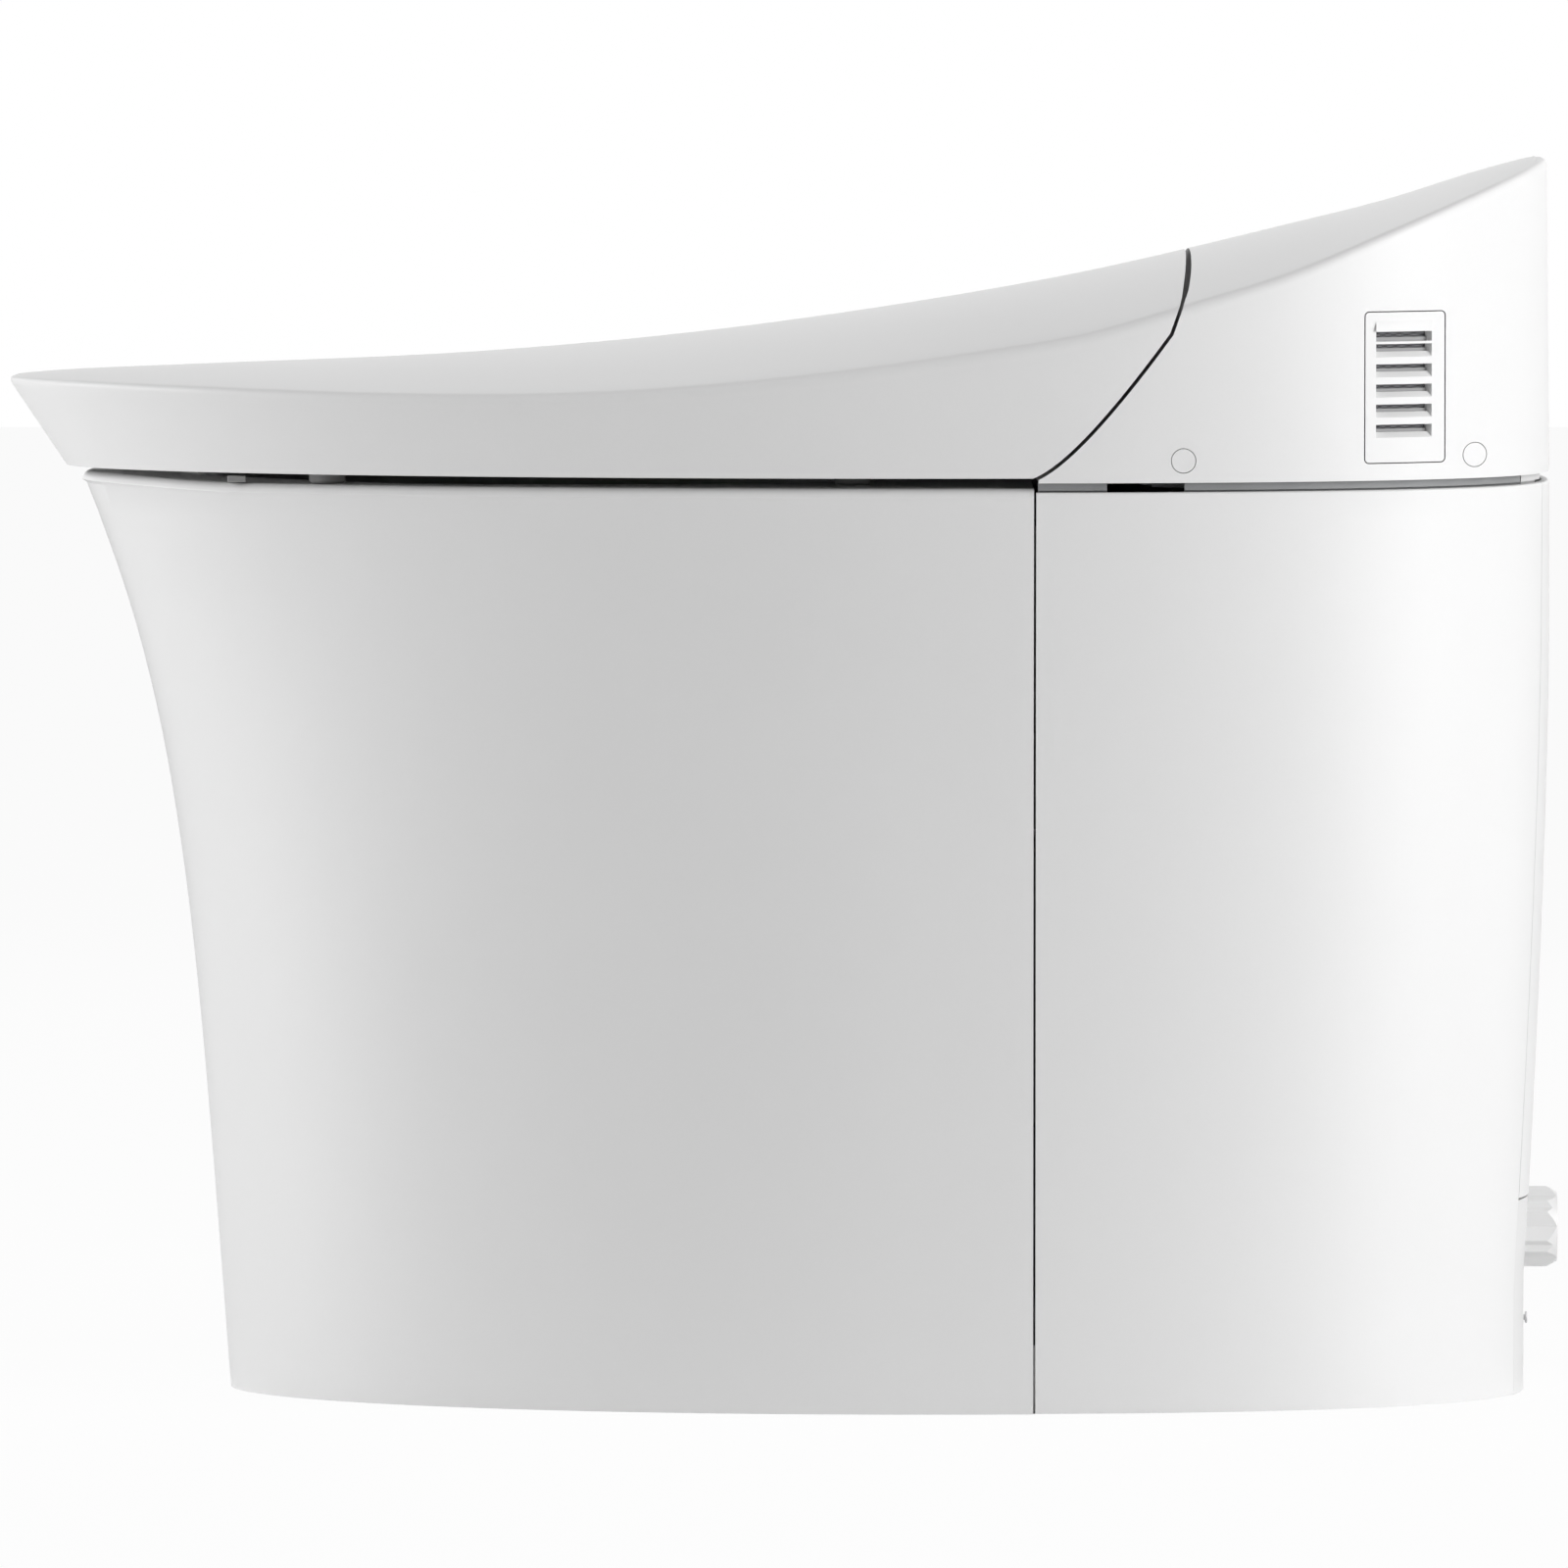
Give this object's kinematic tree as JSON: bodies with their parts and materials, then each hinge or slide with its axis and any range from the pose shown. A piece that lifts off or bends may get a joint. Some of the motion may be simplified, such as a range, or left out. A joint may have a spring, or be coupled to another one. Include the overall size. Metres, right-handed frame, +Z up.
{
  "type": "one-piece bidet toilet",
  "caption": "Floor-standing one-piece bidet toilet with a skirted oval bowl, sweeping lid, hinged seat, sliding spray wand and louvred side filter.",
  "frame": {"origin": "on the floor, under the middle of the toilet's outline", "axes": "+Z up, the front of the bowl faces -Y, X runs across"},
  "size_m": [0.425, 0.6868, 0.5465],
  "materials": {
    "glazed_ceramic": "white vitreous glaze, high gloss",
    "white_shell": "white moulded, satin gloss",
    "white_seat": "white moulded, satin gloss",
    "chassis": "grey moulded",
    "inner_white": "off-white moulded",
    "dark_plastic": "black moulded",
    "soft_rubber": "soft grey",
    "steel": "plain"
  },
  "bodies": {
    "base": {"ceramic_base": "glazed_ceramic", "side_panel_left": "white_shell", "side_panel_right": "white_shell", "rear_strip": "white_shell", "rear_housing": "white_shell", "screw_plug_left_front": "white_shell", "screw_plug_left_rear": "white_shell", "screw_plug_right_front": "white_shell", "screw_plug_right_rear": "white_shell", "chassis_deck": "chassis", "seat_hinge_post_left": "chassis", "seat_hinge_post_right": "chassis", "wand_guide": "chassis", "deodoriser_fan_case": "chassis", "dryer_fan_case": "chassis", "water_heater": "chassis", "valve_manifold": "chassis", "control_box": "chassis", "power_supply": "chassis", "reservoir_tank": "inner_white", "inlet_pipe": "inner_white", "outlet_gasket": "soft_rubber", "floor_bolt_left": "steel", "floor_bolt_right": "steel", "foot_screw": "steel", "lid_hinge_bracket": "steel", "wand_motor": "steel", "lid_drive": "steel", "flush_pump": "steel"},
    "lid": {"lid": "white_shell", "lid_bumper_left": "soft_rubber", "lid_bumper_right": "soft_rubber"},
    "seat": {"seat_ring": "white_seat", "seat_bumper_left_front": "soft_rubber", "seat_bumper_left_rear": "soft_rubber", "seat_bumper_right_front": "soft_rubber", "seat_bumper_right_rear": "soft_rubber"},
    "wand": {"wand_tube": "inner_white", "nozzle_tip": "inner_white"},
    "wand_drive": {"wand_drive_roller": "inner_white"},
    "filter": {"filter_cover": "white_shell", "carbon_filter": "dark_plastic"},
    "deodoriser_wheel": {"deodoriser_fan_wheel": "dark_plastic"},
    "dryer_wheel": {"dryer_fan_wheel": "dark_plastic"},
    "inlet_nut": {"coupling_nut": "white_shell"}
  },
  "joints": [
    {"name": "lid_hinge", "type": "hinge", "parent": "base", "child": "lid", "pos_m": [0, 0.1665, 0.4905], "axis": [-1, 0, 0], "range_deg": [0, 100]},
    {"name": "seat_hinge", "type": "hinge", "parent": "base", "child": "seat", "pos_m": [0, 0.112, 0.429], "axis": [-1, 0, 0], "range_deg": [0, 92]},
    {"name": "wand_slide", "type": "slide", "parent": "base", "child": "wand", "axis": [0, -0.9397, -0.342], "range_m": [0, 0.105]},
    {"name": "wand_drive_turn", "type": "hinge", "parent": "base", "child": "wand_drive", "pos_m": [0, 0.16338, 0.43943], "axis": [1, 0, 0], "range_deg": [0, 752.01]},
    {"name": "filter_slide", "type": "slide", "parent": "base", "child": "filter", "axis": [1, 0, 0], "range_m": [0, 0.06]},
    {"name": "deodoriser_spin", "type": "hinge", "parent": "base", "child": "deodoriser_wheel", "pos_m": [0.07, 0.2711, 0.4471], "axis": [1, 0, 0], "continuous": true},
    {"name": "dryer_spin", "type": "hinge", "parent": "base", "child": "dryer_wheel", "pos_m": [-0.118, 0.222, 0.4323], "axis": [1, 0, 0], "continuous": true},
    {"name": "nut_turn", "type": "hinge", "parent": "base", "child": "inlet_nut", "pos_m": [-0.035, 0.33615, 0.0684], "axis": [0, 1, 0], "continuous": true}
  ],
  "couplings": [
    {"joint": "seat_hinge", "follows": "lid_hinge", "ratio": 0.92},
    {"joint": "wand_drive_turn", "follows": "wand_slide", "rad_per_m": 125}
  ]
}
